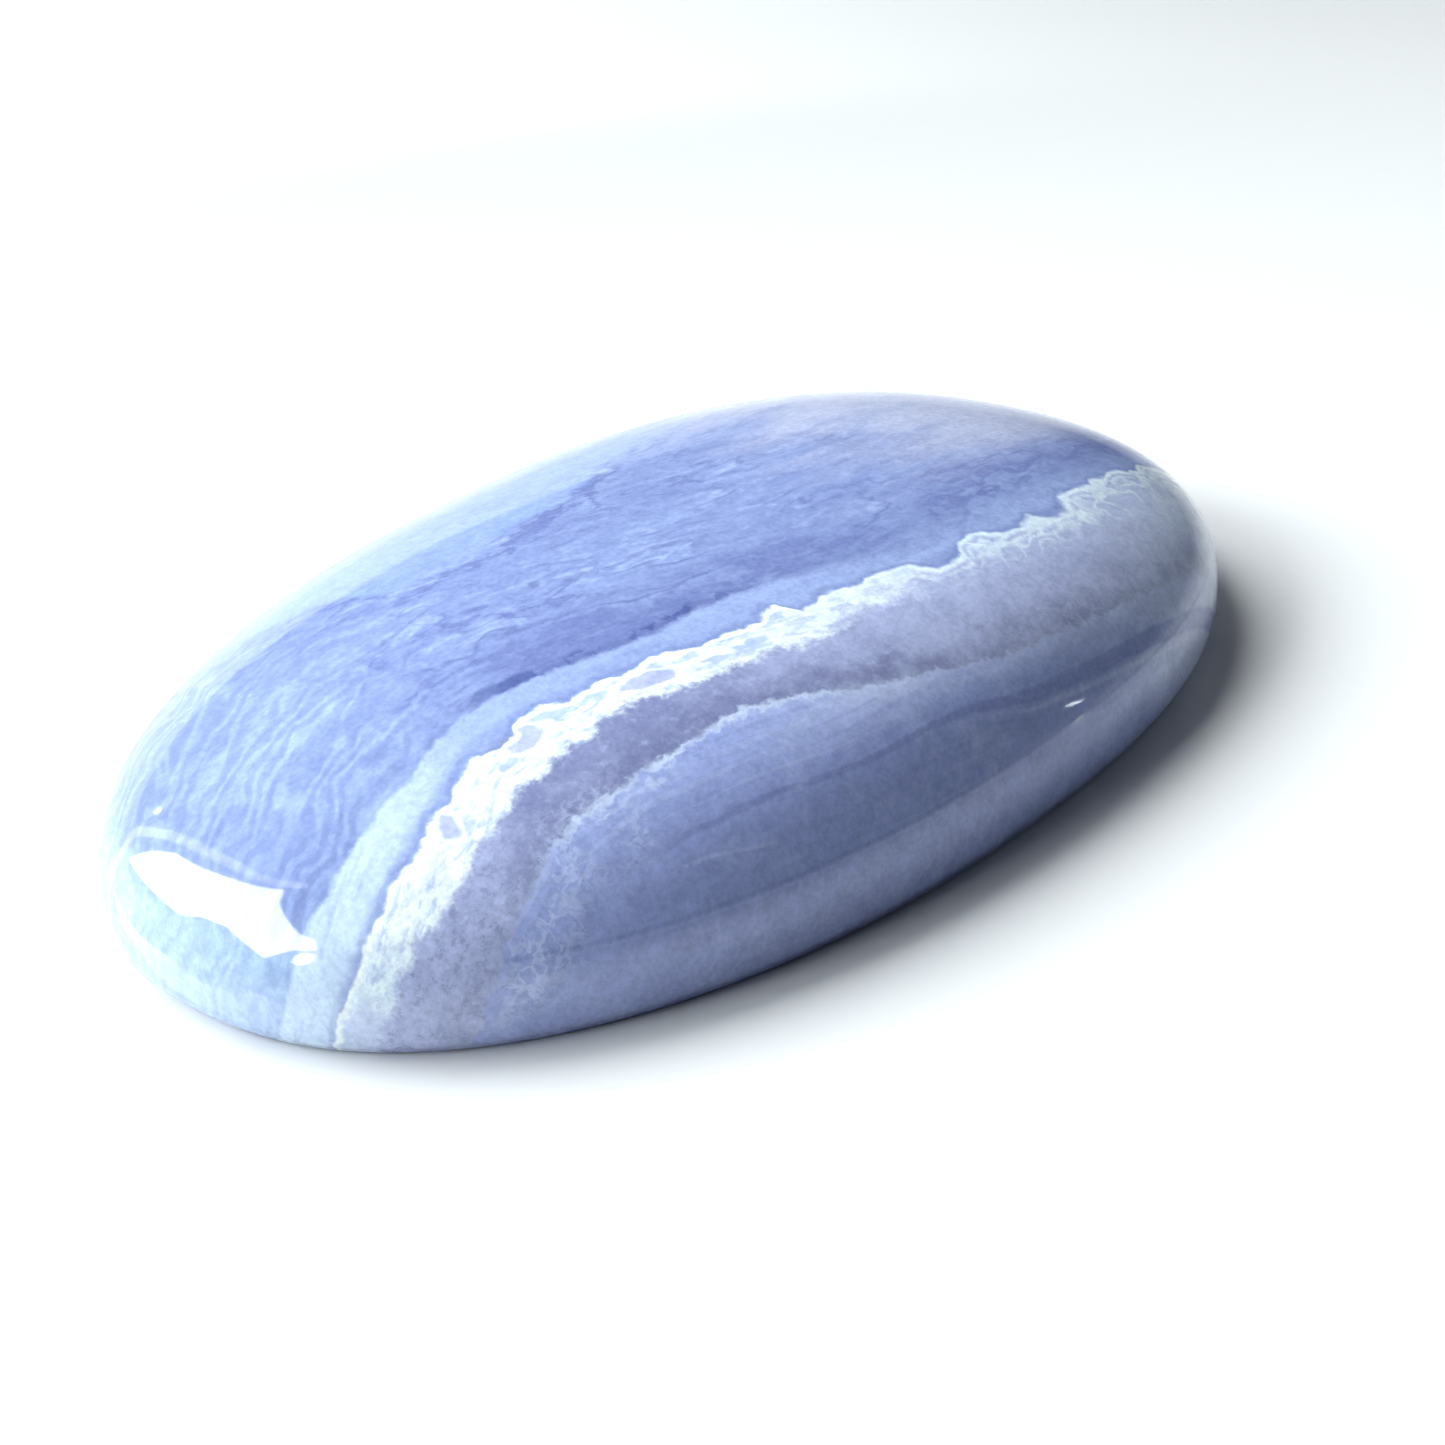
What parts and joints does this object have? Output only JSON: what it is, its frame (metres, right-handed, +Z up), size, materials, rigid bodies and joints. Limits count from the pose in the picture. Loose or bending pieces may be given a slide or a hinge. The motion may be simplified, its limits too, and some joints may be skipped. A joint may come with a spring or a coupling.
{
  "type": "chalcedony cabochon",
  "caption": "Oval polished stone with a low domed top, a steep lower wall, a narrow bevel and a flat back, banded in blue, white and grey-violet.",
  "frame": {"origin": "centre of the bounding box's bottom face, on the flat back", "axes": "+X along the stone's length towards its slightly wider end, +Z up through the dome, +Y across the width"},
  "size_m": [0.04, 0.026, 0.0071],
  "materials": {
    "polished_chalcedony": "glossy hand polish, slightly translucent, with wavy bands of blue, white and grey-violet"
  },
  "bodies": {
    "root": {"cabochon": "polished_chalcedony"}
  },
  "joints": []
}
